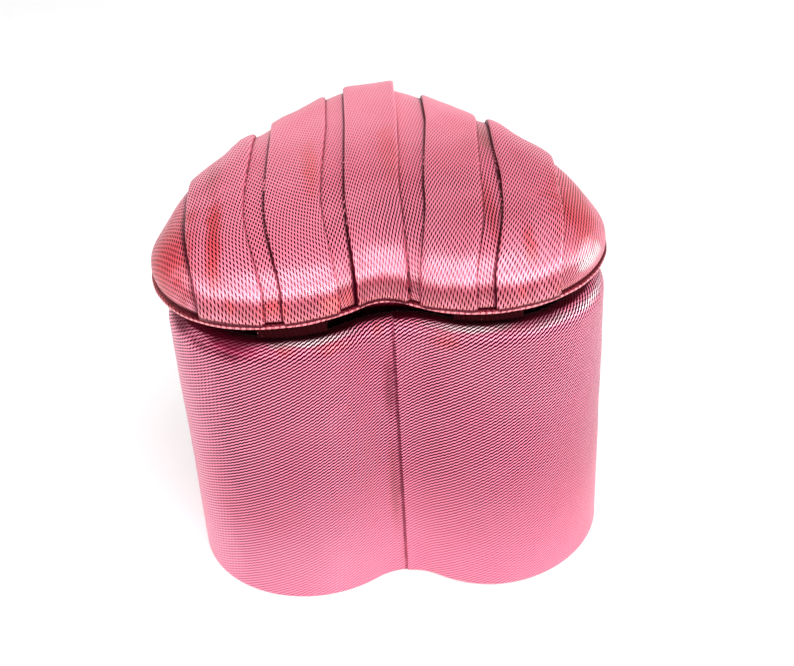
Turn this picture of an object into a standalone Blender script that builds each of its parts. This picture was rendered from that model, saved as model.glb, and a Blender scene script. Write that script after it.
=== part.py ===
"""Heart-shaped jewelry box: a satin-covered card box with a padded, pleated lid on two cloth hinges.

Metres, +Z up. The box stands on z = 0 and the middle of its wall's outline is at x = y = 0.
The heart's cleft and the hinges are on the -Y side, and its point is on the +Y side.
"""

import math

import bmesh
import bpy
from mathutils import Vector

MM = 0.001

# Plan of the wall, outside
HALF_WIDTH = 34.0 * MM
LOBE_RADIUS = 18.7 * MM
POINT_DISTANCE = 47.6 * MM  # from the line through the lobes' centres to the heart's point
POINT_RADIUS = 14.0 * MM
CLEFT_RADIUS = 9.5 * MM

# Wall and base
RIM_HEIGHT = 49.4 * MM
WALL_THICKNESS = 4.0 * MM
RIM_ROLL_RADIUS = 3.0 * MM  # padded outer edge of the rim
RIM_INNER_RADIUS = 0.7 * MM
WALL_FOOT_RADIUS = 0.5 * MM
BASE_THICKNESS = 1.5 * MM  # the base card lies inside the wall
BASE_EDGE_RADIUS = 0.3 * MM

# Lid
LID_GAP = 2.7 * MM  # between the rim and the lid's board, for the lining that the lid rests on
LID_OVERHANG = 1.3 * MM
LID_SHIFT_X = -0.9 * MM  # the lid is glued a little askew
LID_SHIFT_Y = 1.4 * MM
LID_TURN = math.radians(-1.2)
LID_CLEFT_RADIUS = 5.5 * MM
BOARD_THICKNESS = 0.7 * MM
BOARD_EDGE_RADIUS = 0.25 * MM
LINING_INSET = 2.4 * MM  # from the wall's outline to the lining that bears on the rim
LINING_EDGE_RADIUS = 0.5 * MM

# Padded dome on the board
PAD_INSET = 0.1 * MM  # from the board's edge to the pad's widest outline
PAD_TUCK_DEPTH = 1.2 * MM
PAD_TUCK_HEIGHT = 2.0 * MM
PAD_ROLL_DEPTH = 10.4 * MM
PAD_ROLL_HEIGHT = 7.0 * MM
PAD_ROLL_TURN = math.radians(82)  # the roll ends at this slope, where the crown begins
PAD_CROWN_HEIGHT = 1.3 * MM

# Pleated bands over the dome, from the cleft side to the point side
BAND_COUNT = 5
BAND_WIDTH = 9.0 * MM
BAND_THICKNESS = 1.0 * MM
BAND_PITCH_CLEFT = 10.2 * MM  # between neighbouring bands where they tuck under at the cleft side
BAND_PITCH_POINT = 12.4 * MM  # and over the rest of the dome
BAND_FAN_LENGTH = 20.0 * MM  # the pitch opens over this length from the cleft side
BAND_HEM = 0.1 * MM  # height of the bands' lower ends above the pad's lower edge

# Cloth hinges: each strip is a leaf on the rim and a leaf under the lid's board
HINGE_WIDTH = 10.0 * MM
HINGE_SPREAD = 28.8 * MM  # between the strips' middles
HINGE_SHIFT_X = -0.4 * MM
CLOTH_THICKNESS = 0.4 * MM
HINGE_LEAF_HEIGHT = 1.3 * MM
HINGE_AXIS_OUT = 0.1 * MM  # the axis is this far outside the wall
HINGE_AXIS_DROP = 1.2 * MM  # and this far below the lid's board
LID_LEAF_IN = 0.3 * MM  # from the axis to the lid's leaf
RIM_LEAF_IN = 1.2 * MM  # from the axis to the rim's leaf

GAP = 0.3 * MM  # between pieces that touch

# Steps of the round stretches
CLEFT_STEPS = 3
LOBE_STEPS = 15
POINT_STEPS = 6
ROLL_STEPS = 6
CROWN_STEPS = 3
EDGE_STEPS = 2
FAN_STEPS = 4
SHARP_EDGE_ANGLE = math.radians(40)

# Values worked out from the sizes above
LOBE_X = HALF_WIDTH - LOBE_RADIUS
LOBE_Y = (LOBE_RADIUS - POINT_DISTANCE) / 2
BOARD_BOTTOM = RIM_HEIGHT + LID_GAP
BOARD_TOP = BOARD_BOTTOM + BOARD_THICKNESS
LINING_BOTTOM = RIM_HEIGHT + GAP
LINING_THICKNESS = LID_GAP - 2 * GAP
PAD_BOTTOM = BOARD_TOP + GAP
HINGE_Y = LOBE_Y - LOBE_RADIUS - HINGE_AXIS_OUT
HINGE_Z = BOARD_BOTTOM - HINGE_AXIS_DROP

# Colour and roughness of each material
MATERIALS = {
    "wall_satin": ((0.62, 0.13, 0.22), 0.45),
    "lid_satin": ((0.62, 0.13, 0.22), 0.40),
    "pleat_satin": ((0.70, 0.22, 0.30), 0.35),
    "hinge_cloth": ((0.20, 0.02, 0.04), 0.80),
    "lining_cloth": ((0.62, 0.13, 0.22), 0.60),
    "base_card": ((0.33, 0.27, 0.25), 0.90),
}


def clear_scene():
    for obj in list(bpy.data.objects):
        bpy.data.objects.remove(obj)


def new_collection(name):
    collection = bpy.data.collections.new(name)
    bpy.context.scene.collection.children.link(collection)
    return collection


def principled(name):
    colour, roughness = MATERIALS[name]
    material = bpy.data.materials.new(name)
    material.use_nodes = True
    shader = material.node_tree.nodes["Principled BSDF"]
    shader.inputs["Base Color"].default_value = (*colour, 1.0)
    shader.inputs["Roughness"].default_value = roughness
    shader.inputs["Metallic"].default_value = 0.0
    return material


def arc(centre, radius, start, end, steps):
    """Points along an arc, both ends included."""
    angles = [start + (end - start) * i / steps for i in range(steps + 1)]
    return [centre + radius * Vector((math.cos(t), math.sin(t))) for t in angles]


def heart_outline(grow, cleft):
    """The wall's outline moved outwards by grow, anticlockwise from a cleft of that radius.

    Half of it is a concave arc in the cleft, the lobe, a straight flank and the rounded point.
    The line through the lobes' centres is at y = 0.
    """
    lobe = LOBE_RADIUS + grow
    point = POINT_RADIUS + grow
    lobe_centre = Vector((LOBE_X, 0.0))
    reach = lobe + cleft
    cleft_centre = Vector((0.0, -math.sqrt(reach * reach - LOBE_X * LOBE_X)))
    point_centre = Vector((0.0, POINT_DISTANCE - POINT_RADIUS))

    to_lobe = lobe_centre - cleft_centre
    lean = math.atan2(to_lobe.y, to_lobe.x)
    to_point = point_centre - lobe_centre
    flank = math.atan2(to_point.y, to_point.x) - math.acos((lobe - point) / to_point.length)

    half = arc(cleft_centre, cleft, math.pi / 2, lean, CLEFT_STEPS)
    half += arc(lobe_centre, lobe, lean - math.pi, flank, LOBE_STEPS)[1:]
    half += arc(point_centre, point, flank, math.pi / 2, POINT_STEPS)
    mirrored = [Vector((-p.x, p.y)) for p in reversed(half[1:-1])]
    return half + mirrored


def wall_ring(inset, z):
    """The wall's outline moved inwards by inset."""
    return [Vector((p.x, p.y, z)) for p in heart_outline(-inset, CLEFT_RADIUS + inset)]


def lid_ring(inset, z):
    """The board's outline moved inwards by inset."""
    outline = heart_outline(LID_OVERHANG - inset, LID_CLEFT_RADIUS + inset)
    return [Vector((p.x, p.y, z)) for p in outline]


def quarter(inset, z, radius, start, end, steps=EDGE_STEPS):
    """(inset, height) points of a rounded edge whose centre is at (inset, z)."""
    turns = [start + (end - start) * i / steps for i in range(steps + 1)]
    return [(inset - radius * math.cos(t), z + radius * math.sin(t)) for t in turns]


def add_mesh(name, mesh_builder, material, collection):
    mesh = bpy.data.meshes.new(name)
    mesh_builder.to_mesh(mesh)
    mesh_builder.free()
    mesh.materials.append(material)
    mesh.shade_smooth()
    mesh.set_sharp_from_angle(angle=SHARP_EDGE_ANGLE)
    obj = bpy.data.objects.new(name, mesh)
    collection.objects.link(obj)
    return obj


def loft(rings, ends):
    """A solid through rings of equally many points. ends is "flat", "joined" or a point for the last end."""
    builder = bmesh.new()
    loops = [[builder.verts.new(p) for p in points] for points in rings]
    pairs = list(zip(loops[:-1], loops[1:]))
    if ends == "joined":
        pairs.append((loops[-1], loops[0]))
    count = len(rings[0])
    for lower, upper in pairs:
        for i in range(count):
            j = (i + 1) % count
            builder.faces.new((lower[i], lower[j], upper[j], upper[i]))
    if ends != "joined":
        builder.faces.new(list(reversed(loops[0])))
    if ends == "flat":
        builder.faces.new(loops[-1])
    elif ends != "joined":
        apex = builder.verts.new(ends)
        for i in range(count):
            builder.faces.new((loops[-1][i], loops[-1][(i + 1) % count], apex))
    bmesh.ops.recalc_face_normals(builder, faces=builder.faces)
    bmesh.ops.triangulate(builder, faces=[f for f in builder.faces if len(f.verts) > 4])
    return builder


def card(name, ring, inset, bottom, thickness, edge_radius, material, collection):
    """A flat heart-shaped card with rounded edges."""
    low = quarter(inset + edge_radius, bottom + edge_radius, edge_radius, -math.pi / 2, 0.0)
    high = quarter(inset + edge_radius, bottom + thickness - edge_radius, edge_radius, 0.0, math.pi / 2)
    rings = [ring(i, z) for i, z in low + high]
    return add_mesh(name, loft(rings, "flat"), material, collection)


def body_wall(material, collection):
    """The wall: a heart-shaped tube with a padded, rolled rim."""
    roll_start = RIM_HEIGHT - RIM_ROLL_RADIUS
    outer_roll = quarter(RIM_ROLL_RADIUS, roll_start, RIM_ROLL_RADIUS, 0.0, math.pi / 2, ROLL_STEPS)
    inner_start = WALL_THICKNESS - RIM_INNER_RADIUS
    inner_roll = quarter(
        inner_start, RIM_HEIGHT - RIM_INNER_RADIUS, RIM_INNER_RADIUS, math.pi / 2, math.pi
    )
    foot = quarter(WALL_FOOT_RADIUS, WALL_FOOT_RADIUS, WALL_FOOT_RADIUS, -math.pi / 2, 0.0)
    profile = foot + outer_roll + inner_roll + [(WALL_THICKNESS, 0.0)]
    rings = [wall_ring(inset, z) for inset, z in profile]
    return add_mesh("body_wall", loft(rings, "joined"), material, collection)


def dome(name, proud, bottom, material, collection):
    """The pad's dome, grown outwards by proud, down to the height bottom."""
    widest_z = PAD_BOTTOM + PAD_TUCK_HEIGHT
    profile = [(PAD_INSET + PAD_TUCK_DEPTH - proud, bottom)]
    for i in range(1, EDGE_STEPS):
        t = -math.pi / 2 * (1 - i / EDGE_STEPS)
        profile.append((
            PAD_INSET + PAD_TUCK_DEPTH * (1 - math.cos(t)) - proud,
            widest_z + PAD_TUCK_HEIGHT * math.sin(t),
        ))
    for i in range(ROLL_STEPS + 1):
        t = PAD_ROLL_TURN * i / ROLL_STEPS
        profile.append((
            PAD_INSET + PAD_ROLL_DEPTH * (1 - math.cos(t)) - proud * math.cos(t),
            widest_z + PAD_ROLL_HEIGHT * math.sin(t) + proud * math.sin(t),
        ))
    rings = [lid_ring(inset, z) for inset, z in profile]
    edge = rings[-1]
    ys = [p.y for p in edge]
    middle = Vector((0.0, (min(ys) + max(ys)) / 2, 0.0))
    for i in range(1, CROWN_STEPS + 1):
        share = 1 - i / (CROWN_STEPS + 1)
        rise = PAD_CROWN_HEIGHT * (1 - share * share)
        rings.append([
            Vector((p.x * share, middle.y + (p.y - middle.y) * share, p.z + rise)) for p in edge
        ])
    apex = Vector((0.0, middle.y, edge[0].z + PAD_CROWN_HEIGHT))
    return add_mesh(name, loft(rings, apex), material, collection)


def band_pitch(y):
    """Distance between neighbouring bands' middles at the depth y."""
    start = -LOBE_RADIUS
    share = min(max((y - start) / BAND_FAN_LENGTH, 0.0), 1.0)
    eased = share * (2 - share)
    return BAND_PITCH_CLEFT + (BAND_PITCH_POINT - BAND_PITCH_CLEFT) * eased


def band_blank(name, place, bottom, top, material, collection):
    """An upright blank as wide as one band, longer than the dome at both ends."""
    depths = [-LOBE_RADIUS - BAND_WIDTH]
    depths += [-LOBE_RADIUS + BAND_FAN_LENGTH * i / FAN_STEPS for i in range(FAN_STEPS + 1)]
    depths += [POINT_DISTANCE + BAND_WIDTH]
    left = [Vector((place * band_pitch(y) - BAND_WIDTH / 2, y)) for y in depths]
    right = [Vector((place * band_pitch(y) + BAND_WIDTH / 2, y)) for y in depths]
    outline = right + list(reversed(left))
    rings = [[Vector((p.x, p.y, z)) for p in outline] for z in (bottom, top)]
    return add_mesh(name, loft(rings, "flat"), material, collection)


def cut(obj, cutter, operation):
    modifier = obj.modifiers.new(cutter.name, "BOOLEAN")
    modifier.operation = operation
    modifier.object = cutter


def hide_cutter(obj):
    obj.hide_render = True
    obj.display_type = "WIRE"


def hinge_leaf(name, x, y, bottom, material, collection):
    """A short upright strip of cloth, y being its outer face."""
    bpy.ops.mesh.primitive_cube_add(size=1.0)
    leaf = bpy.context.object
    leaf.name = name
    leaf.data.name = name
    size = Vector((HINGE_WIDTH, CLOTH_THICKNESS, HINGE_LEAF_HEIGHT))
    for vertex in leaf.data.vertices:
        vertex.co = Vector(a * b for a, b in zip(vertex.co, size))
    leaf.location = (x, y + CLOTH_THICKNESS / 2, bottom + HINGE_LEAF_HEIGHT / 2)
    leaf.data.materials.append(material)
    for other in list(leaf.users_collection):
        other.objects.unlink(leaf)
    collection.objects.link(leaf)
    return leaf


def rim_surface(inset):
    """Height of the rolled rim at a distance in from the wall's outside."""
    across = RIM_ROLL_RADIUS - min(inset, RIM_ROLL_RADIUS)
    return RIM_HEIGHT - RIM_ROLL_RADIUS + math.sqrt(RIM_ROLL_RADIUS ** 2 - across ** 2)


def put_on_body(obj):
    obj.location.y += LOBE_Y


def put_on_lid(obj, lid_axis):
    """Places a piece that is modelled around the lobes' line on the shifted and turned lid."""
    obj.parent = lid_axis
    lobe_line = Vector((LID_SHIFT_X, LOBE_Y + LID_SHIFT_Y, 0.0))
    obj.location = lobe_line - lid_axis.location
    obj.rotation_euler.z = LID_TURN


def build():
    clear_scene()
    parts = new_collection("heart_jewelry_box")
    cutters = new_collection("cutters")
    wall_satin = principled("wall_satin")
    lid_satin = principled("lid_satin")
    pleat_satin = principled("pleat_satin")
    hinge_cloth = principled("hinge_cloth")
    lining_cloth = principled("lining_cloth")
    base_card = principled("base_card")

    put_on_body(card(
        "base_card", wall_ring, WALL_THICKNESS + GAP, 0.0, BASE_THICKNESS, BASE_EDGE_RADIUS,
        base_card, parts,
    ))
    put_on_body(body_wall(wall_satin, parts))

    lid_axis = bpy.data.objects.new("lid_axis", None)
    lid_axis.location = (0.0, HINGE_Y, HINGE_Z)
    parts.objects.link(lid_axis)

    put_on_lid(card(
        "lid_board", lid_ring, 0.0, BOARD_BOTTOM, BOARD_THICKNESS, BOARD_EDGE_RADIUS, lid_satin, parts
    ), lid_axis)
    put_on_lid(card(
        "lid_lining", wall_ring, LINING_INSET, LINING_BOTTOM, LINING_THICKNESS,
        LINING_EDGE_RADIUS, lining_cloth, parts,
    ), lid_axis)
    put_on_lid(dome("lid_pad", 0.0, PAD_BOTTOM, lid_satin, parts), lid_axis)

    band_inside = dome("band_inside", GAP, BOARD_BOTTOM, lid_satin, cutters)
    band_outside = dome("band_outside", GAP + BAND_THICKNESS, BOARD_BOTTOM, lid_satin, cutters)
    for cutter in (band_inside, band_outside):
        put_on_lid(cutter, lid_axis)
        hide_cutter(cutter)
    pad_height = PAD_TUCK_HEIGHT + PAD_ROLL_HEIGHT + PAD_CROWN_HEIGHT
    blank_top = PAD_BOTTOM + pad_height + BAND_WIDTH
    for i in range(BAND_COUNT):
        place = i - (BAND_COUNT - 1) / 2
        band = band_blank(
            f"pleat_band_{i + 1}", place, PAD_BOTTOM + BAND_HEM, blank_top, pleat_satin, parts
        )
        put_on_lid(band, lid_axis)
        cut(band, band_outside, "INTERSECT")
        cut(band, band_inside, "DIFFERENCE")

    for side, turn in (("left", -1), ("right", 1)):
        x = HINGE_SHIFT_X + turn * HINGE_SPREAD / 2
        rim_leaf_y = HINGE_Y + RIM_LEAF_IN
        rim_leaf_inset = RIM_LEAF_IN + CLOTH_THICKNESS - HINGE_AXIS_OUT
        hinge_leaf(
            f"hinge_{side}_rim", x, rim_leaf_y, rim_surface(rim_leaf_inset) + GAP, hinge_cloth, parts
        )
        lid_leaf = hinge_leaf(
            f"hinge_{side}_lid", x, HINGE_Y + LID_LEAF_IN,
            BOARD_BOTTOM - GAP - HINGE_LEAF_HEIGHT, hinge_cloth, parts,
        )
        lid_leaf.parent = lid_axis
        lid_leaf.location -= lid_axis.location


build()
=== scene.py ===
"""Dresses the heart-shaped jewelry box in twilled satin: body, padded lid, pleats and cloth hinges.

Sizes here are in millimetres in the box's own frame, and meshes are made in metres.
"""
from collections import namedtuple
import math

import bmesh
import bpy
import numpy as np
from mathutils import Matrix, Vector, noise


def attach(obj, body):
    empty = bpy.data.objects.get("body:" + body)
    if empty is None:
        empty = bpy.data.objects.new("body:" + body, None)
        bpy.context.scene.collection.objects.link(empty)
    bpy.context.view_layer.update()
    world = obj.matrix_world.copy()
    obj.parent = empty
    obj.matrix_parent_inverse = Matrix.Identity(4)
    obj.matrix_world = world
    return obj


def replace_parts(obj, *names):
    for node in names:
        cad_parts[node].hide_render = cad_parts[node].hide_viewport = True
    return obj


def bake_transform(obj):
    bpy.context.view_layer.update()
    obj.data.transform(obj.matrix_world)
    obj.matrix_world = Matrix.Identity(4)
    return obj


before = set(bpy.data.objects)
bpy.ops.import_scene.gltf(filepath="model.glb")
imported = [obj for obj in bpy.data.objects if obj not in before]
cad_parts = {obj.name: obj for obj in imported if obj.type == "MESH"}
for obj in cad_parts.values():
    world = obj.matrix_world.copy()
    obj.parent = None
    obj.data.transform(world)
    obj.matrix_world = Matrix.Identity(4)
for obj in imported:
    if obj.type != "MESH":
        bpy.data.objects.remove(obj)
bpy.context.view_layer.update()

MM = 0.001

# Plan of the wall and of the lid
HALF_WIDTH = 34.0
LOBE_RADIUS = 18.7
POINT_DISTANCE = 47.6
POINT_RADIUS = 14.0
CLEFT_RADIUS = 9.5
LOBE_X = HALF_WIDTH - LOBE_RADIUS
LOBE_Y = (LOBE_RADIUS - POINT_DISTANCE) / 2
LID_OVERHANG = 1.3
LID_CLEFT_RADIUS = 5.5
LID_SHIFT = (-0.9, 1.4)
LID_TURN = math.radians(-1.2)

# Heights and thicknesses
RIM_HEIGHT = 49.4
WALL_THICKNESS = 4.0
RIM_ROLL = 3.0
INNER_ROLL = 0.7
FOOT_ROLL = 0.5
BASE_THICKNESS = 1.5
BOARD_BOTTOM = 52.1
BOARD_TOP = 52.8
LINING_BOTTOM = 49.7
PAD_BOTTOM = 53.1
HINGE_Z = BOARD_BOTTOM - 1.2

# Padded dome: its tucked foot, the roll of its edge and the rise of its middle
PAD_INSET = 0.1
TUCK_DEPTH, TUCK_HEIGHT = 0.8, 2.0
ROLL_DEPTH, ROLL_HEIGHT, ROLL_TURN = 10.4, 7.0, math.radians(82)
CROWN = 1.3
# Fuller and flatter places of the padding: height, then middle and reach across and along
FULLNESS = [
    (1.2, 24, 9, 17, 12),
    (-1.1, 34, 4.5, 3, 9),
    (0.6, 15, 5, 32, 8),
    (-0.35, 9, 4, 42, 6),
    (0.8, 20.5, 2.5, 26, 7),
]

# Each pleat's left and right edge at the cleft side, over the middle and at the back, then its height,
# extra height of its left edge and of its right one towards the back, and the bias of its cloth in degrees
Pleat = namedtuple("Pleat", "left right height left_lift right_lift bias")
PLEATS = [
    Pleat((-25.9, -28.8, -29.2), (-17.1, -20.2, -19.2), 0.80, 0.05, 0.00, 52),
    Pleat((-14.5, -16.9, -16.5), (-6.2, -8.45, -7.3), 0.75, 0.08, 0.00, 52),
    Pleat((-3.9, -4.7, -4.1), (4.0, 3.65, 4.6), 0.90, 0.05, 1.00, 48),
    Pleat((5.2, 7.45, 9.4), (13.4, 16.1, 17.9), 0.75, 0.10, 0.00, 42),
    Pleat((16.0, 19.1, 19.6), (25.1, 27.9, 29.4), 0.75, 0.08, 0.00, 40),
]
FAN_START, FAN_LENGTH, FAN_REST = -18.7, 20.0, 24.0
PLEAT_STEPS = 150
FOLD_RADIUS = 0.55
EDGE_HEIGHT = 0.38
# Where the lines near a pleat's edge lie, in fold radii, then its middle line and those kept underneath
FOLD_STOPS = np.array([0.0, 0.15, 0.5, 1.0, 1.8, 3.2])
MIDDLE_LINE = 12
UNDER_LINES = [24, 18, 12, 6, 0]

# Ribbon of the hinges, and its path in from the wall's face: above the rim, then above the hinge line
RIBBON_HALF, RIBBON_THICKNESS = 5.1, 0.22
RIBBON_OVER_RIM = [
    (4.06, -4.6), (4.06, -2.2), (4.04, -0.8), (3.85, -0.2), (3.5, 0.03), (3.1, 0.12), (2.75, 0.35)
]
RIBBON_TO_BOARD = [(2.6, -0.6), (2.5, 0.0), (2.55, 0.7), (2.7, 1.2), (3.1, 1.5), (3.9, 1.45), (5.4, 1.1)]

# Wave vectors of the weave, in cycles for each millimetre, across and up the cloth
WEAVE_COLUMN = (1.36, -0.155)
WEAVE_RIB = (1.03, -1.82)
RIB_STEP = 0.30
GROOVE_SOFTNESS = 0.22
WANDER, WANDER_SCALE = 0.35, 0.14
LID_BIAS = math.radians(48)

# How far under a pleat's edge the pad still counts as beside it, a distance out of any reach, and the shift
# of the noise from one seed to the next
BESIDE_REACH = 0.6
FAR = 99.0
SEED_STEP = 17.3


# Plan curves

def direction(angle):
    """The unit vector of an angle in the plan."""
    return np.array([math.cos(angle), math.sin(angle)])


class Heart:
    """A heart outline by distance along it, anticlockwise from the cleft, with its outward normals."""

    def __init__(self, grow, cleft):
        self.lobe = LOBE_RADIUS + grow
        self.point = POINT_RADIUS + grow
        self.cleft = cleft
        self.lobe_centre = np.array([LOBE_X, 0.0])
        reach = self.lobe + cleft
        self.cleft_centre = np.array([0.0, -math.sqrt(reach * reach - LOBE_X * LOBE_X)])
        self.point_centre = np.array([0.0, POINT_DISTANCE - POINT_RADIUS])
        to_lobe = self.lobe_centre - self.cleft_centre
        self.lean = math.atan2(to_lobe[1], to_lobe[0])
        to_point = self.point_centre - self.lobe_centre
        drop = (self.lobe - self.point) / np.linalg.norm(to_point)
        self.flank = math.atan2(to_point[1], to_point[0]) - math.acos(drop)
        straight = math.sqrt(np.linalg.norm(to_point) ** 2 - (self.lobe - self.point) ** 2)
        lengths = [
            cleft * (math.pi / 2 - self.lean),
            self.lobe * (self.flank - self.lean + math.pi),
            straight,
            self.point * (math.pi / 2 - self.flank),
        ]
        self.ends = np.cumsum(lengths)
        self.half = self.ends[-1]
        self.length = 2 * self.half

    def at(self, s):
        """Points and outward normals at distances s, in the frame whose y = 0 is the lobes' line."""
        s = np.mod(np.asarray(s, float), self.length)
        mirrored = s > self.half
        cleft_end, lobe_end, flank_end, _ = self.ends
        points = np.zeros((len(s), 2))
        normals = np.zeros((len(s), 2))
        for i, d in enumerate(np.where(mirrored, self.length - s, s)):
            if d < cleft_end:
                away = direction(math.pi / 2 - d / self.cleft)
                points[i], normals[i] = self.cleft_centre + self.cleft * away, -away
            elif d < lobe_end:
                away = direction(self.lean - math.pi + (d - cleft_end) / self.lobe)
                points[i], normals[i] = self.lobe_centre + self.lobe * away, away
            elif d < flank_end:
                away = direction(self.flank)
                along = np.array([-away[1], away[0]])
                points[i] = self.lobe_centre + self.lobe * away + (d - lobe_end) * along
                normals[i] = away
            else:
                away = direction(self.flank + (d - flank_end) / self.point)
                points[i], normals[i] = self.point_centre + self.point * away, away
        points[mirrored, 0] *= -1
        normals[mirrored, 0] *= -1
        return points, normals


WALL = Heart(0.0, CLEFT_RADIUS)
LID = Heart(LID_OVERHANG, LID_CLEFT_RADIUS)


def on_body(points):
    """Moves points from the lobes' line to their place on the body."""
    return points + np.array([0.0, LOBE_Y, 0.0])


def on_lid(points):
    """Moves points from the lobes' line to their place on the lid, which sits a little askew."""
    c, s = math.cos(LID_TURN), math.sin(LID_TURN)
    out = np.array(points, float)
    x, y = out[..., 0].copy(), out[..., 1].copy()
    out[..., 0] = c * x - s * y + LID_SHIFT[0]
    out[..., 1] = s * x + c * y + LOBE_Y + LID_SHIFT[1]
    return out


def rough(points, scale, seed):
    """Smooth noise from -1 to 1 at each point; scale is in waves for each millimetre."""
    flat = np.asarray(points, float).reshape(-1, 3) * scale + seed * SEED_STEP
    values = [noise.noise(Vector(p)) for p in flat]
    return np.array(values).reshape(np.asarray(points).shape[:-1])


def smoothstep(x, low, high):
    """0 below low, 1 above high, smooth between."""
    t = np.clip((np.asarray(x, float) - low) / (high - low), 0.0, 1.0)
    return t * t * (3 - 2 * t)


def quarter(inset, z, radius, start, end, steps):
    """(inset, z, slope) along a rounded edge; slope 0 faces outwards and pi/2 faces up."""
    turns = np.linspace(start, end, steps + 1)
    return [(inset - radius * math.cos(t), z + radius * math.sin(t), t) for t in turns]


def distances_along(path):
    """The running length of a path at each of its points."""
    return np.concatenate([[0.0], np.cumsum(np.linalg.norm(np.diff(path, axis=0), axis=1))])


def unit(vectors):
    """The vectors at length 1."""
    return vectors / np.maximum(np.linalg.norm(vectors, axis=-1, keepdims=True), 1e-9)


def relax(values, times):
    """Smooths a row of points in place and keeps its two ends."""
    for _ in range(times):
        values[1:-1] = 0.5 * values[1:-1] + 0.25 * (values[:-2] + values[2:])


def turn_uv(points, angle):
    """Turns flat points so that the weave runs at the angle on the cloth."""
    c, s = math.cos(-angle), math.sin(-angle)
    points = np.asarray(points, float)
    return np.stack([c * points[..., 0] - s * points[..., 1], s * points[..., 0] + c * points[..., 1]], -1)


# Mesh making

def to_object(name, points, faces, uvs, materials, looks=None, fold_shadows=None):
    """A smooth mesh object in metres; uvs and folds hold one pair for each face corner."""
    mesh = bpy.data.meshes.new(name)
    mesh.from_pydata([tuple(p) for p in np.asarray(points) * MM], [], faces)
    for layer_name, pairs in (("weave", uvs), ("fold", fold_shadows)):
        if pairs is not None:
            layer = mesh.uv_layers.new(name=layer_name)
            layer.data.foreach_set("uv", np.asarray(pairs, np.float32).ravel())
    for material in materials:
        mesh.materials.append(material)
    if looks is not None:
        mesh.polygons.foreach_set("material_index", np.asarray(looks, np.int32))
    builder = bmesh.new()
    builder.from_mesh(mesh)
    bmesh.ops.recalc_face_normals(builder, faces=builder.faces)
    builder.to_mesh(mesh)
    builder.free()
    mesh.shade_smooth()
    obj = bpy.data.objects.new(name, mesh)
    bpy.context.scene.collection.objects.link(obj)
    return obj


def grid_faces(rows, columns, wrap_rows, wrap_columns, uv):
    """Quads over a grid of points, and their corners' uvs; uv has one row and column more where it wraps."""
    faces, corners = [], []
    for r in range(rows if wrap_rows else rows - 1):
        for c in range(columns if wrap_columns else columns - 1):
            quad = [(r, c), (r, c + 1), (r + 1, c + 1), (r + 1, c)]
            faces.append([(i % rows) * columns + (j % columns) for i, j in quad])
            corners.extend(uv[i][j] for i, j in quad)
    return faces, corners


def fill(faces, corners, loop, uvs):
    """Closes a loop of point numbers with one face."""
    faces.append(list(loop))
    corners.extend(uvs)


def strip_faces(rows, columns, uv):
    """Faces and corners' uvs of a flat tube whose rows wrap round, with both of its ends closed."""
    faces, corners = grid_faces(rows, columns, True, False, uv)
    for column in (0, columns - 1):
        fill(faces, corners, [i * columns + column for i in range(rows)], [row[column] for row in uv[:rows]])
    return faces, corners


# Node helpers

def nodes_of(name):
    """A new material with its node tree and its shader."""
    material = bpy.data.materials.new(name)
    material.use_nodes = True
    return material, material.node_tree, material.node_tree.nodes["Principled BSDF"]


def uv_of(tree, layer):
    """The uvs of a layer of the mesh: weave or fold."""
    node = tree.nodes.new("ShaderNodeUVMap")
    node.uv_map = layer
    return node.outputs["UV"]


def place_of(tree):
    """The place on the object, in metres."""
    return tree.nodes.new("ShaderNodeTexCoord").outputs["Object"]


def feed(tree, socket, value):
    """Links another node's output to the socket, or else sets its value."""
    if isinstance(value, bpy.types.NodeSocket):
        tree.links.new(value, socket)
    else:
        socket.default_value = value


def math_node(tree, operation, *values, clamp=False):
    """One step of arithmetic on numbers or outputs."""
    node = tree.nodes.new("ShaderNodeMath")
    node.operation = operation
    node.use_clamp = clamp
    for socket, value in zip(node.inputs, values):
        feed(tree, socket, value)
    return node.outputs[0]


def vector_node(tree, operation, *values, output="Vector"):
    """The same for vectors."""
    node = tree.nodes.new("ShaderNodeVectorMath")
    node.operation = operation
    for socket, value in zip(node.inputs, values):
        feed(tree, socket, value)
    return node.outputs[output]


def dot(tree, vector, by):
    """The vector's length along a pair of numbers."""
    return vector_node(tree, "DOT_PRODUCT", vector, (*by, 0.0), output="Value")


def noise_node(tree, vector, scale, detail=2.0, roughness=0.5, output="Fac"):
    """Noise at a vector; scale is in waves for each of its units."""
    node = tree.nodes.new("ShaderNodeTexNoise")
    node.inputs["Scale"].default_value = scale
    node.inputs["Detail"].default_value = detail
    node.inputs["Roughness"].default_value = roughness
    tree.links.new(vector, node.inputs["Vector"])
    return node.outputs[output]


def mix_colour(tree, factor, a, b):
    """Colour a where the factor is 0 and b where it is 1."""
    node = tree.nodes.new("ShaderNodeMix")
    node.data_type = "RGBA"
    factor_socket, a_socket, b_socket = node.inputs[0], node.inputs[6], node.inputs[7]
    feed(tree, factor_socket, factor)
    for socket, colour in ((a_socket, a), (b_socket, b)):
        feed(tree, socket, (*colour, 1.0) if isinstance(colour, tuple) else colour)
    return node.outputs[2]


def ramp(tree, factor, low, high):
    """0 at low, 1 at high, smooth between; low may be the larger of the two."""
    node = tree.nodes.new("ShaderNodeMapRange")
    node.interpolation_type = "SMOOTHSTEP"
    node.inputs["From Min"].default_value = low
    node.inputs["From Max"].default_value = high
    tree.links.new(factor, node.inputs["Value"])
    return node.outputs["Result"]


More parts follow.
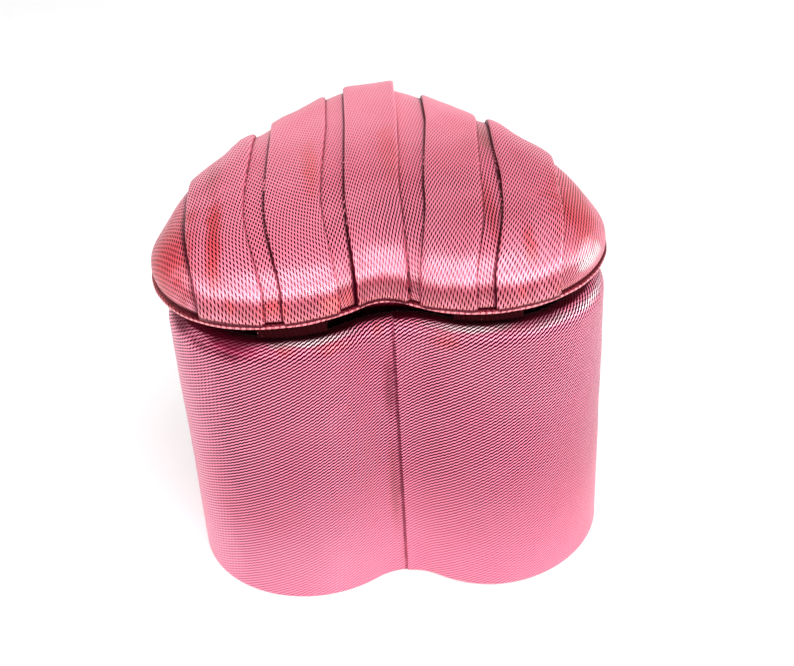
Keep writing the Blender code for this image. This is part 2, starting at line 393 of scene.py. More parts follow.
def patch(tree, position, centre, radii, ragged=0.9):
    """1 at a point of the object and 0 outside a ragged ellipsoid round it; sizes in millimetres."""
    shifted = vector_node(tree, "SUBTRACT", position, tuple(v * MM for v in centre))
    scaled = vector_node(tree, "DIVIDE", shifted, tuple(v * MM for v in radii))
    length = vector_node(tree, "LENGTH", scaled, output="Value")
    border = noise_node(tree, position, 420.0, 3.0)
    reach = math_node(tree, "MULTIPLY_ADD", border, ragged, -ragged / 2)
    inside = math_node(tree, "SUBTRACT", math_node(tree, "ADD", reach, 1.0), length, clamp=True)
    return ramp(tree, inside, 0.0, 0.8)


def add_bump(tree, shader, height, strength, depth):
    """Bump on the shader's normal; depth is in metres."""
    bump = tree.nodes.new("ShaderNodeBump")
    bump.inputs["Strength"].default_value = strength
    bump.inputs["Distance"].default_value = depth
    tree.links.new(height, bump.inputs["Height"])
    tree.links.new(bump.outputs["Normal"], shader.inputs["Normal"])


# Materials

def twill(tree, place, share, run, dotted):
    """0 on the weave's ribs and 1 in the gaps between them."""
    uv = uv_of(tree, "weave")
    wander = noise_node(tree, uv, WANDER_SCALE, 1.0, output="Color")
    cloth = vector_node(tree, "MULTIPLY_ADD", wander, (WANDER, WANDER, 0.0), uv)
    across = math_node(tree, "SUBTRACT", math_node(tree, "FRACT", dot(tree, cloth, WEAVE_COLUMN)), 0.5)
    stepped = math_node(tree, "MULTIPLY_ADD", across, RIB_STEP, dot(tree, cloth, WEAVE_RIB))
    wave = math_node(tree, "COSINE", math_node(tree, "MULTIPLY", stepped, 2 * math.pi))
    middle = math.cos(math.pi * share)
    groove = ramp(tree, wave, middle - GROOVE_SOFTNESS, middle + GROOVE_SOFTNESS)
    dash = ramp(tree, math_node(tree, "ABSOLUTE", across), 0.44, 0.20)
    joined = math_node(tree, "MULTIPLY_ADD", noise_node(tree, place, 60.0, 1.0), 0.8, run - 0.4, clamp=True)
    for centre, radii in dotted:
        apart = math_node(tree, "SUBTRACT", 1.0, patch(tree, place, centre, radii, 0.2))
        joined = math_node(tree, "MULTIPLY", joined, apart)
    return math_node(tree, "MULTIPLY", groove, math_node(tree, "MAXIMUM", dash, joined))


def satin_covers(tree, place, fold_shadows, rim, shadows_and_seam_marks):
    """How strongly each painted shadow, and the seam's dark line and its stain, covers the cloth."""
    covers = []
    # Painted shadow on the pad beside the pleats' left edges, and a fainter one beside their right edges
    if fold_shadows:
        fold = uv_of(tree, "fold")
        left = ramp(tree, dot(tree, fold, (1.0, 0.0)), 0.55, 0.1)
        right = ramp(tree, dot(tree, fold, (0.0, 1.0)), 0.40, 0.05)
        covers += [math_node(tree, "MULTIPLY", left, 0.93), math_node(tree, "MULTIPLY", right, 0.55)]
    # Painted shade on the cleft side above a height: on the wall under the lid, on the pad at its hem's foot
    if rim:
        parts = tree.nodes.new("ShaderNodeSeparateXYZ")
        tree.links.new(place, parts.inputs[0])
        shade = ramp(tree, parts.outputs["Z"], rim[0] * MM, rim[1] * MM)
        front = ramp(tree, parts.outputs["Y"], -6 * MM, -18 * MM)
        covers.append(math_node(tree, "MULTIPLY", shade, math_node(tree, "MULTIPLY", front, 0.95)))
    # Patches of painted shadow, and the seam's dark line and its stain
    for strength, centre, radii in shadows_and_seam_marks:
        covers.append(math_node(tree, "MULTIPLY", patch(tree, place, centre, radii), strength))
    return covers


def satin(
    name, rib, gap, depth=1.0, run=0.3, share=0.5, tints_and_painted_light=(), shine=0.1, gloss=1.0, ior=1.6,
    roughness=0.30, sheen=0.03, fold_shadows=False, rim=None, shadows_and_seam_marks=(), dotted=(), paled_by_light=()
):
    """Twilled satin. tints are (colour, strength, centre, radii) patches on the object, in millimetres.

    depth is how dark the gaps between the ribs are, run how far they join up along a rib, share their part
    of the width and shine how much the ribs mirror the light. Besides marks on the cloth, the tints hold
    painted highlights and painted shade. folds paints shadow on the cloth beside the pleats' edges, and rim
    is two heights: painted shade darkens the cleft side from the first to the second. In the dotted places
    the gaps are separate dashes, in the faint ones they are paler as painted light, and the shades are
    painted shadow and the seam's dark line and its stain. The gaps and all these darkened places count as
    metal, so they mirror nothing but their own dark colour.
    """
    material, tree, shader = nodes_of(name)
    place = place_of(tree)
    dark = twill(tree, place, share, run, dotted)
    uneven = math_node(tree, "MULTIPLY_ADD", noise_node(tree, place, 160.0, 3.0), 0.8, depth - 0.4)
    shown = math_node(tree, "MULTIPLY", dark, uneven, clamp=True)
    for strength, centre, radii in paled_by_light:
        kept = math_node(tree, "MULTIPLY_ADD", patch(tree, place, centre, radii, 0.1), -strength, 1.0)
        shown = math_node(tree, "MULTIPLY", shown, kept)

    broad = ramp(tree, noise_node(tree, place, 38.0), 0.35, 0.68)
    tone = mix_colour(tree, broad, rib, tuple(v * f for v, f in zip(rib, (0.97, 0.78, 0.82))))
    for colour, strength, centre, radii in tints_and_painted_light:
        amount = math_node(tree, "MULTIPLY", patch(tree, place, centre, radii), strength)
        tone = mix_colour(tree, amount, tone, colour)
    base = mix_colour(tree, shown, tone, gap)
    # The gaps and the painted shade are kept together, to be made metal
    gaps_and_painted_shade = shown
    for cover in satin_covers(tree, place, fold_shadows, rim, shadows_and_seam_marks):
        base = mix_colour(tree, cover, base, SHADOW)
        gaps_and_painted_shade = math_node(tree, "MAXIMUM", gaps_and_painted_shade, cover)
    feed(tree, shader.inputs["Base Color"], base)
    feed(tree, shader.inputs["Roughness"], math_node(tree, "MULTIPLY_ADD", dark, 0.08, roughness))
    feed(tree, shader.inputs["Metallic"], math_node(tree, "MULTIPLY_ADD", gaps_and_painted_shade, 1 - shine, shine))
    shader.inputs["IOR"].default_value = ior
    shader.inputs["Specular IOR Level"].default_value = gloss
    shader.inputs["Specular Tint"].default_value = (1.0, 0.87, 0.88, 1.0)
    shader.inputs["Sheen Weight"].default_value = sheen
    shader.inputs["Sheen Roughness"].default_value = 0.35
    shader.inputs["Sheen Tint"].default_value = (1.0, 0.62, 0.72, 1.0)
    add_bump(tree, shader, math_node(tree, "SUBTRACT", 1.0, dark), 0.55, 0.00009)
    return material


def dark_ribbon(name):
    """Dark red grosgrain ribbon with fine cross ribs, darkened by painted shade, and bright specks of painted
    glint.
    """
    material, tree, shader = nodes_of(name)
    place = place_of(tree)
    across = dot(tree, uv_of(tree, "weave"), (1.0, 0.25))
    ribs = math_node(tree, "SINE", math_node(tree, "MULTIPLY", across, 9.0))
    height = math_node(tree, "MULTIPLY_ADD", ribs, 0.5, 0.5)
    grain = math_node(tree, "MULTIPLY", noise_node(tree, place, 900.0, 3.0), 0.5)
    specks = ramp(tree, noise_node(tree, place, 2600.0, 1.0), 0.74, 0.80)
    base = mix_colour(tree, height, (0.016, 0.0005, 0.001), (0.035, 0.001, 0.003))
    base = mix_colour(tree, grain, base, (0.03, 0.001, 0.003))
    base = mix_colour(tree, specks, base, (0.6, 0.22, 0.26))
    feed(tree, shader.inputs["Base Color"], base)
    shader.inputs["Metallic"].default_value = 0.6
    shader.inputs["Roughness"].default_value = 0.8
    shader.inputs["Specular IOR Level"].default_value = 0.1
    add_bump(tree, shader, height, 0.5, 0.00006)
    return material


def card_stock(name):
    """Grey-brown card with short fibres."""
    material, tree, shader = nodes_of(name)
    place = place_of(tree)
    fibres = noise_node(tree, place, 700.0, 6.0, 0.7)
    blotches = math_node(tree, "MULTIPLY", noise_node(tree, place, 60.0, 3.0), 0.35)
    base = mix_colour(tree, fibres, (0.30, 0.235, 0.20), (0.47, 0.39, 0.345))
    base = mix_colour(tree, blotches, base, (0.36, 0.27, 0.24))
    feed(tree, shader.inputs["Base Color"], base)
    shader.inputs["Roughness"].default_value = 0.9
    add_bump(tree, shader, fibres, 0.35, 0.00008)
    return material


def floor_material(name):
    """Nearly white matt ground."""
    material, tree, shader = nodes_of(name)
    soft = noise_node(tree, place_of(tree), 3.0)
    feed(tree, shader.inputs["Base Color"], mix_colour(tree, soft, (0.93, 0.93, 0.93), (0.96, 0.96, 0.96)))
    shader.inputs["Roughness"].default_value = 0.8
    return material


# Colours of the satin's ribs, of the gaps between them, of painted shadow, which also darkens the seam's line
# and stain, of marks on the cloth, and of painted light: GLINT is a painted highlight, BERRY_SHADE and
# SALMON_HEM_SHADE are painted shade
WALL_RIB = (0.97, 0.235, 0.385)
LID_RIB = (1.0, 0.215, 0.335)
GAP = (0.04, 0.001, 0.008)
SHADOW = (0.09, 0.001, 0.014)
CORAL = (0.90, 0.10, 0.10)
RED = (0.72, 0.02, 0.03)
BROWN = (0.42, 0.10, 0.08)
STAIN = (0.11, 0.05, 0.035)
GLINT = (1.0, 0.80, 0.84)
BERRY_SHADE = (0.42, 0.014, 0.055)
SALMON_HEM_SHADE = (0.62, 0.12, 0.12)

# Tints are colour, strength, centre and radii, and hold painted highlights and painted shade besides marks;
# shades (painted shadow, the seam's line and stain) and faint places (painted light) are the same without a
# colour
WALL_TINTS_AND_GLINTS = [
    # Painted highlights: white glints along the rim's roll
    (GLINT, 0.90, (-10.5, -31.6, 49.06), (13.0, 5.0, 0.6)),
    (GLINT, 0.90, (9.5, -31.6, 49.06), (12.0, 5.0, 0.6)),
    (GLINT, 0.65, (24.0, -30.5, 48.6), (9.0, 6.0, 0.75)),
    (GLINT, 0.75, (31.0, -24.0, 48.3), (5.0, 8.0, 0.8)),
    (CORAL, 0.80, (-15.3, -33.1, 48.6), (3.2, 2.5, 1.2)),
    (CORAL, 0.65, (-8.6, -32.0, 48.2), (5.5, 3.0, 1.4)),
    (CORAL, 0.70, (-2.4, -29.0, 48.6), (1.3, 2.5, 1.6)),
    (CORAL, 0.60, (7.4, -31.4, 47.2), (4.5, 3.0, 2.0)),
    (STAIN, 0.30, (-0.9, -28.7, 38.0), (1.2, 2.5, 8.0)),
    (BROWN, 0.35, (-1.4, -28.7, 18.0), (1.2, 2.5, 12.0)),
]
LID_TINTS_AND_PAINTED_LIGHT = [
    # Painted shade: a dark band under the front's highlight, then a darker hem above the board
    (BERRY_SHADE, 1.0, (0.0, -30.0, 56.1), (80.0, 26.0, 2.7)),
    (SALMON_HEM_SHADE, 0.8, (0.0, -30.0, 53.7), (80.0, 26.0, 1.3)),
    (RED, 0.85, (-25.2, -22.0, 61.5), (1.9, 17.0, 7.0)),
    (BROWN, 0.35, (-25.8, -4.0, 62.5), (2.0, 9.0, 4.0)),
    (RED, 0.85, (-33.0, -19.0, 59.0), (9.0, 17.0, 9.0)),
    (RED, 0.80, (29.5, -19.0, 61.0), (7.0, 17.0, 8.0)),
    # Painted highlight low on the lid's right end
    (GLINT, 0.80, (29.8, -25.5, 56.2), (5.0, 7.0, 1.8)),
    (RED, 0.75, (20.3, -28.0, 61.0), (1.5, 5.0, 4.0)),
    (BROWN, 0.60, (18.0, 4.0, 62.5), (1.6, 10.0, 3.5)),
    (RED, 0.55, (15.6, -20.0, 62.6), (1.6, 12.0, 4.0)),
    (CORAL, 0.60, (-10.6, -4.0, 63.6), (1.8, 13.0, 4.0)),
    (CORAL, 0.45, (2.0, 0.0, 64.0), (2.4, 14.0, 4.0)),
    (CORAL, 0.80, (-8.5, -31.7, 55.7), (2.6, 2.2, 2.2)),
    (RED, 0.55, (-23.1, -31.8, 56.4), (1.0, 2.0, 1.6)),
    (RED, 0.55, (18.4, -33.4, 56.4), (1.1, 2.0, 1.6)),
    (RED, 0.45, (24.2, -31.3, 55.5), (1.3, 2.0, 1.6)),
    # Deeper red at the feet of the recesses between the pleats: painted shade
    (RED, 0.75, (-17.0, -33.1, 56.0), (3.0, 4.0, 3.0)),
    (RED, 0.85, (-6.1, -30.5, 55.2), (2.0, 3.0, 2.2)),
]
WALL_SHADOWS_AND_SEAM_MARKS = [
    # Painted shadow of the lid on the rim's top at the front and sides, then the seam's dark line and its
    # stained gaps
    (0.85, (-25.0, -31.5, 49.0), (10.0, 8.0, 3.2)),
    (0.70, (-32.0, -22.0, 49.2), (7.0, 9.0, 2.2)),
    (0.60, (22.0, -32.0, 49.2), (10.0, 6.0, 1.4)),
    (0.70, (-0.15, -28.6, 26.0), (0.4, 2.5, 60.0)),
    (0.35, (-1.1, -28.7, 38.5), (1.5, 2.5, 9.0)),
    (0.20, (-1.1, -28.7, 20.0), (1.2, 2.5, 14.0)),
]
LID_CLOTH = dict(
    # rim paints shade as a dark line at the hem's foot, above the board
    depth=1.05, run=0.5, share=0.56, ior=1.88, roughness=0.33, tints_and_painted_light=LID_TINTS_AND_PAINTED_LIGHT, rim=(54.1, 53.75),
    dotted=[((-20.0, -8.0, 60.0), (24.0, 46.0, 20.0))],
    # The faint places pale the gaps as painted light: sheen on the top and back, and the front's highlight
    paled_by_light=[(0.65, (0.0, 26.0, 62.0), (70.0, 42.0, 40.0)), (0.15, (0.0, -29.0, 58.8), (60.0, 18.0, 2.6))],
)

WALL_SATIN = satin(
    "wall_satin_weave", WALL_RIB, GAP, depth=1.5, run=0.8, share=0.62, gloss=0.9, ior=1.65,
    # rim paints the lid's shade on the front of the rim's top
    tints_and_painted_light=WALL_TINTS_AND_GLINTS, rim=(49.12, 49.34), shadows_and_seam_marks=WALL_SHADOWS_AND_SEAM_MARKS,
    dotted=[((-33.0, -16.0, 22.0), (15.0, 24.0, 60.0))],
    # The faint place pales the gaps low on the wall as painted light
    paled_by_light=[(0.42, (0.0, -24.0, -6.0), (90.0, 60.0, 34.0))]
)
PAD_SATIN = satin("pad_satin_weave", LID_RIB, GAP, fold_shadows=True, **LID_CLOTH)
PLEAT_SATIN = satin("pleat_satin_weave", LID_RIB, GAP, **LID_CLOTH)
LINING_SATIN = satin("lining_satin_weave", (0.70, 0.17, 0.26), GAP, depth=0.7, gloss=0.5, ior=1.5, sheen=0.15)
# The board's edge is a paler copy of the satin: painted light
EDGE_LIT_SATIN = satin(
    "board_edge_lit_satin", (0.80, 0.30, 0.33), (0.30, 0.04, 0.06), depth=0.8, run=0.6, gloss=0.3, ior=1.5
)
SHADE_SATIN = satin("shaded_satin_weave", SHADOW, SHADOW, shine=0.9, sheen=0.0)
# The board's top is a dark copy of the satin: painted shade, less deep at the left end
BOARD_TOP_SHADED_SATIN = satin(
    "board_top_shaded_satin", (0.15, 0.012, 0.02), SHADOW, gloss=0.2, sheen=0.0,
    tints_and_painted_light=[((0.55, 0.13, 0.14), 0.9, (-37.0, -14.0, 53.0), (13.0, 20.0, 5.0))]
)
RIBBON = dark_ribbon("hinge_ribbon_shaded")
CARD = card_stock("base_card_stock")


# Body wall

def wall_profile():
    """(inset, z, slope, distance) rows round the wall's section, from the inner foot outwards and up."""
    rows = [(inset, 0.0, -math.pi / 2) for inset in (WALL_THICKNESS, 2.8, 1.6)]
    rows += quarter(FOOT_ROLL, FOOT_ROLL, FOOT_ROLL, -math.pi / 2, 0.0, 4)
    top = RIM_HEIGHT - RIM_ROLL
    rows += [(0.0, z, 0.0) for z in np.linspace(FOOT_ROLL, top, 44)[1:-1]]
    rows += quarter(RIM_ROLL, top, RIM_ROLL, 0.0, math.pi / 2, 14)
    inner_top = RIM_HEIGHT - INNER_ROLL
    rows += quarter(WALL_THICKNESS - INNER_ROLL, inner_top, INNER_ROLL, math.pi / 2, math.pi, 6)
    rows += [(WALL_THICKNESS, z, math.pi) for z in np.linspace(inner_top, 0.0, 40)[1:-1]]
    rows = np.array(rows)
    distance = distances_along(rows[:, :2])
    return np.column_stack([rows, distance - distance[3]])


def wall_swell(rows, s, grid):
    """How far the wall's cloth stands out from the card at each point of the grid."""
    z = grid[..., 2]
    outside = (rows[:, 0] < 3.4)[:, None] * np.ones(len(s))[None, :]
    near_rim = smoothstep(z, 42.0, 46.5) * outside
    puckers = grid * np.array([1.0, 1.0, 0.12])
    swell = 0.10 * rough(grid, 0.09, 1) + 0.05 * rough(grid, 0.28, 2)
    swell += near_rim * 0.07 * rough(puckers, 0.55, 3)
    swell *= smoothstep(z, 0.3, 3.0)

    # The foot flares under the left lobe and the rim swells over the other one's shoulder
    far_half = s > WALL.length / 2
    from_end = np.where(far_half, WALL.length - s, 0.0)
    foot = 1.1 * np.exp(-((np.minimum(s, 40.0) - 15.0) / 12.0) ** 2)[None, :] * (1 - smoothstep(z, 6.0, 40.0))
    shoulder = 0.55 * np.exp(-((from_end - 36.0) / 10.0) ** 2)[None, :] * smoothstep(z, 15.0, 44.0)
    swell += outside * (foot * smoothstep(z, -1.5, 0.6) + shoulder)

    # At the seam the cloth's start laps over its end
    after_seam = np.where(s < WALL.length / 2, s, FAR)
    before_seam = np.where(far_half, WALL.length - s, FAR)
    lap = 0.36 * smoothstep(after_seam, 0.0, 0.18) * np.exp(-np.clip(after_seam - 0.18, 0, None) / 2.4)
    lap -= 0.10 * np.exp(-before_seam / 0.35)
    wobble = 1.0 + 0.35 * rough(np.stack([0 * z, 0 * z, z], -1), 0.25, 4)
    return swell + outside * lap[None, :] * wobble * smoothstep(z, -0.2, 0.8)


def make_wall():
    """The hollow wall, wrapped in one width of satin whose seam is in the cleft."""
    rows = wall_profile()
    near_seam = [0.0, 0.07, 0.16, 0.3, 0.5, 0.75, 1.05]
    near_end = [WALL.length - back for back in (0.6, 0.3, 0.12, 0.03)]
    s = np.concatenate([near_seam, np.linspace(1.4, WALL.length - 1.0, 400), near_end])
    points, normals = WALL.at(s)
    grid = np.zeros((len(rows), len(s), 3))
    out = np.zeros_like(grid)
    for j, (inset, z, slope, _) in enumerate(rows):
        grid[j, :, :2] = points - inset * normals
        grid[j, :, 2] = z
        out[j, :, :2] = normals * math.cos(slope)
        out[j, :, 2] = max(math.sin(slope), 0.0)
    grid += out * wall_swell(rows, s, grid)[..., None]
    grid[:3, :, 2] = 0.0

    shear = 0.05 * (s - s * s / WALL.length)
    heights = list(rows[:, 3]) + [rows[-1, 3] + 2.0]
    uv = [[(a, up - b) for a, b in zip(s, shear)] + [(WALL.length + 0.05, up)] for up in heights]
    faces, corners = grid_faces(len(rows), len(s), True, True, uv)
    return to_object("wall_cover", on_body(grid).reshape(-1, 3), faces, corners, [WALL_SATIN])


# Cards

def make_card(name, heart, inset, bottom, top, edge, place, materials, crown=0.0, wave=0.0, seed=5, curl=0.0):
    """A heart-shaped card with rounded edges, a soft top and wavy edges; its cleft side can curl up.

    materials are those of the edge and the underside, and a third where the top has its own.
    """
    s = np.linspace(0.0, heart.length, 361)[:-1]
    points, normals = heart.at(s)
    middle = (bottom + top) / 2
    depth = (top - bottom) / 2
    turns = np.linspace(-math.pi / 2, math.pi / 2, 9)
    rows = [(inset + edge + 4.0 * k, bottom) for k in (2, 1)]
    rows += [(inset + edge * (1 - math.cos(t)), middle + depth * math.sin(t)) for t in turns]
    rows += [(inset + edge + 2.1 * k, top) for k in (1, 2, 4)]
    grid = np.zeros((len(rows), len(s), 3))
    for j, (depth_in, z) in enumerate(rows):
        grid[j, :, :2] = points - depth_in * normals
        grid[j, :, 2] = z
    plan = np.array([1, 1, 0])
    grid[..., 2] += wave * rough(grid * plan, 0.16, seed)
    grid[..., 2] += curl * smoothstep(-grid[..., 1], -8.0, 8.0) * smoothstep(grid[..., 0], -30.0, -14.0)
    slack = 0.6 * wave * rough(grid * plan, 0.3, seed + 1)
    grid[..., :2] += slack[..., None] * normals[None]
    lift = [0.0] * (len(rows) - 3) + [0.4 * crown, 0.75 * crown, crown]
    grid[..., 2] += np.array(lift)[:, None]

    uv = []
    for j, (across, _) in enumerate(rows):
        if j < 2 or j >= len(rows) - 3:
            flat = [tuple(p) for p in grid[j, :, :2]]
            uv.append(flat + flat[:1])
        else:
            uv.append([(a, -across) for a in list(s) + [heart.length]])
    faces, corners = grid_faces(len(rows), len(s), False, True, uv)
    for j in (0, len(rows) - 1):
        fill(faces, corners, range(j * len(s), (j + 1) * len(s)), uv[j][:-1])
    under_strips, top_look = (2, 2) if len(materials) > 2 else (3, 0)
    strips = np.arange(len(faces) - 2) // len(s)
    looks = np.select([strips < under_strips, strips > 6], [1, top_look], 0).tolist() + [1, top_look]
    return to_object(name, place(grid).reshape(-1, 3), faces, corners, materials, looks)


# Padded dome

def dome_levels(steps=34, crown_steps=26):
    """(inset, z) from the board up to the crown, their distances from it, then the crown's shares."""
    widest = PAD_BOTTOM + TUCK_HEIGHT
    levels = []
    for t in np.linspace(-math.pi / 2, 0, 9)[:-1]:
        levels.append((PAD_INSET + TUCK_DEPTH * (1 - math.cos(t)), widest + TUCK_HEIGHT * math.sin(t)))
    for t in np.linspace(0, ROLL_TURN, steps):
        levels.append((PAD_INSET + ROLL_DEPTH * (1 - math.cos(t)), widest + ROLL_HEIGHT * math.sin(t)))
    levels = np.array(levels)
    distance = distances_along(levels)
    shares = 1 - np.arange(1, crown_steps) / crown_steps
    return levels, distance[-1] - distance, shares


LEVELS, UNROLL, SHARES = dome_levels()
S_DOME = np.linspace(0.0, LID.length, 481)[:-1]
BASE_POINTS, BASE_NORMALS = LID.at(S_DOME)
TOP_RING = BASE_POINTS - LEVELS[-1, 0] * BASE_NORMALS
MIDDLE = np.array([0.0, (TOP_RING[:, 1].min() + TOP_RING[:, 1].max()) / 2])
TOP_Z = LEVELS[-1, 1]


def dome_grid():
    """Rings of the dome, bottom to crown, without the apex."""
    rings = []
    for inset, z in LEVELS:
        rings.append(np.column_stack([BASE_POINTS - inset * BASE_NORMALS, np.full(len(S_DOME), z)]))
    for share in SHARES:
        xy = MIDDLE + share * (TOP_RING - MIDDLE)
        rings.append(np.column_stack([xy, np.full(len(S_DOME), TOP_Z + CROWN * (1 - share * share))]))
    grid = np.array(rings)
    around = np.roll(grid, -1, axis=1) - np.roll(grid, 1, axis=1)
    outwards = unit(np.cross(around, np.gradient(grid, axis=0)))
    across, along = np.abs(grid[..., 0]), grid[..., 1]
    full = 0.0
    for height, x, reach_x, y, reach_y in FULLNESS:
        full = full + height * np.exp(-((across - x) / reach_x) ** 2 - ((along - y) / reach_y) ** 2)
    return grid + outwards * (full * smoothstep(grid[..., 2], 53.5, 58.5))[..., None]


DOME = dome_grid()


def nearest(gaps):
    """The smallest of the distances from each edge, which are negative on an edge's own side."""
    return np.where(gaps > -BESIDE_REACH, gaps, FAR).min(axis=0)


def make_pad():
    """The padded dome in plain satin; its fold layer holds the distances from the pleats' edges, for painted
    shadow.
    """
    grid = DOME.copy()
    outwards = unit(grid - np.array([0.0, 0.0, PAD_BOTTOM]))
    soft = smoothstep(grid[..., 2], PAD_BOTTOM, PAD_BOTTOM + 1.5)
    swell = 0.16 * rough(grid, 0.11, 11) + 0.05 * rough(grid * np.array([1.0, 0.25, 0.4]), 0.6, 12)
    grid += outwards * (swell * soft)[..., None]
    rows, columns = grid.shape[:2]
    uv = []
    for j in range(rows):
        flat = TOP_RING + UNROLL[j] * BASE_NORMALS if j < len(LEVELS) else DOME[j, :, :2]
        turned = [tuple(p) for p in turn_uv(flat, LID_BIAS)]
        uv.append(turned + turned[:1])
    faces, corners = grid_faces(rows, columns, False, True, uv)

    apex = np.array([[0.0, MIDDLE[1], TOP_Z + CROWN + 0.16 * rough(grid[-1, :1], 0.11, 11)[0]]])
    points = np.concatenate([grid.reshape(-1, 3), apex])
    apex_uv = tuple(turn_uv(MIDDLE, LID_BIAS))
    start = (rows - 1) * columns
    for i in range(columns):
        faces.append([start + i, start + (i + 1) % columns, len(points) - 1])
        corners.extend([uv[-1][i], uv[-1][i + 1], apex_uv])
    fill(faces, corners, range(columns), uv[0][:columns])

    x, y = points[:, 0], points[:, 1]
    left_gaps = np.array([edge_x(pleat.left, y) - x for pleat in PLEATS])
    right_gaps = np.array([x - edge_x(pleat.right, y) for pleat in PLEATS])
    # The painted shadow beside the first pleat is made wider, as that pleat stands between the camera and it
    left_gaps[0] *= 0.45
    beside, after = nearest(left_gaps), nearest(right_gaps)
    fold_shadows = [(beside[i], after[i]) for face in faces for i in face]
    return to_object("pad_cover", on_lid(points), faces, corners, [PAD_SATIN], fold_shadows=fold_shadows)


# Pleats

def edge_x(edge, y):
    """The plan x of a pleat's edge at the depth y: it fans out at first and then runs nearly straight."""
    share = np.clip((y - FAN_START) / FAN_LENGTH, 0.0, 1.0)
    rest = np.clip((y - FAN_START - FAN_LENGTH) / FAN_REST, 0.0, 1.0)
    return edge[0] + (edge[1] - edge[0]) * share * (2 - share) + (edge[2] - edge[1]) * rest


def pleat_x(pleat, w, y):
    """The plan x of a pleat's line w (0 left, 1 right) at the depth y."""
    return edge_x(pleat.left, y) * (1 - w) + edge_x(pleat.right, y) * w


def crossings(ring, line):
    """The points where a ring crosses the plan line, front one first."""
    f = ring[:, 0] - line(ring[:, 1])
    after = np.roll(f, -1)
    found = np.nonzero((f <= 0) != (after <= 0))[0]
    nexts = np.roll(ring, -1, axis=0)
    share = f[found] / (f[found] - after[found])
    points = ring[found] + share[:, None] * (nexts[found] - ring[found])
    return points[np.argsort(points[:, 1])]


def section(pleat, w):
    """The dome's section along a pleat's line, from its front foot to its back one."""
    fronts, backs = [], []
    for ring in DOME:
        points = crossings(ring, lambda y: pleat_x(pleat, w, y))
        if len(points) < 2:
            break
        fronts.append(points[0])
        backs.append(points[-1])
    path = np.array(fronts + backs[::-1])
    relax(path, 3)
    return path, distances_along(path)


def pleat_height(number, pleat, ws, r, base, along):
    """How far the band's cloth stands above the pad; r is its fold's radius as a share of its width."""
    edge = np.minimum(ws, 1 - ws) / r
    fold = np.sqrt(np.clip(1 - (1 - np.clip(edge, 0, 1)) ** 2, 0, 1))
    hollow = 0.12 * smoothstep(edge, 1.5, 7.0)
    left_edge = pleat.left_lift * np.exp(-ws / (2.5 * r))
    right_edge = pleat.right_lift * np.exp(-(1 - ws) / (3.5 * r))
    shape = EDGE_HEIGHT + (pleat.height - EDGE_HEIGHT) * fold - hollow + left_edge
    streaks = rough(base * np.array([1.0, 0.10, 0.10]), 0.55, 20 + number)
    broad = rough(base, 0.13, 30 + number)
    gathers = rough(base * np.array([1.0, 0.06, 0.06]), 1.1, 40 + number)
    free = smoothstep(edge, 0.0, 2.0)[:, None]
    far = smoothstep(base[..., 1], 5.0, 40.0)
    out = shape[:, None] + (0.07 * streaks + 0.10 * broad) * free + right_edge[:, None] * far
    out += 0.08 * gathers * (1 - smoothstep(along, 2.0, 9.0)) * free
    for from_hem in (along, along.max() - along):
        out *= 1 - 0.30 * (1 - smoothstep(from_hem, 0.0, 1.6))
    return out


def make_pleat(number, pleat):
    """A folded band of satin over the dome, as a closed strip, with its length in mm and area in m2."""
    r = FOLD_RADIUS / (pleat.right[0] - pleat.left[0])
    ws = np.concatenate([r * FOLD_STOPS, np.linspace(5.2 * r, 1 - 5.2 * r, 13), 1 - r * FOLD_STOPS[::-1]])
    even = np.linspace(0, 1, PLEAT_STEPS)
    spacing = 0.35 * (0.5 - 0.5 * np.cos(np.linspace(0, math.pi, PLEAT_STEPS))) + 0.65 * even
    base = np.zeros((len(ws), PLEAT_STEPS, 3))
    along = np.zeros((len(ws), PLEAT_STEPS))
    for i, w in enumerate(ws):
        path, distance = section(pleat, w)
        along[i] = spacing * distance[-1]
        base[i] = np.column_stack([np.interp(along[i], distance, path[:, k]) for k in range(3)])
    up = unit(np.cross(np.gradient(base, axis=0), np.gradient(base, axis=1)))
    for _ in range(6):
        relax(up.swapaxes(0, 1), 1)
        relax(up, 1)
    up = unit(up)
    upper = base + up * pleat_height(number, pleat, ws, r, base, along)[..., None]
    lower = base + up * 0.06
    loop = np.concatenate([upper, lower[UNDER_LINES]])

    u = distances_along(upper[:, 40])
    across = np.concatenate([u, np.linspace(u[-1], 0, len(UNDER_LINES))]) + pleat.left[1]
    flat = np.stack([
        np.repeat(across[:, None], PLEAT_STEPS, 1), np.concatenate([along, along[UNDER_LINES]])
    ], -1)
    uv = [list(map(tuple, row)) for row in turn_uv(flat, math.radians(pleat.bias))]
    uv.append(uv[0])
    faces, corners = strip_faces(len(loop), PLEAT_STEPS, uv)
    strips = np.repeat(np.arange(len(loop)), PLEAT_STEPS - 1)
    looks = [1 if strip in (0, len(loop) - 1) else 0 for strip in strips] + [0, 0]
    points = on_lid(loop.reshape(-1, 3))
    obj = to_object(f"pleat_cover_{number}", points, faces, corners, [PLEAT_SATIN, SHADE_SATIN], looks)
    area = 0.5 * sum(p.area for p in obj.data.polygons)
    return obj, along[MIDDLE_LINE, -1], area


# Cloth hinges

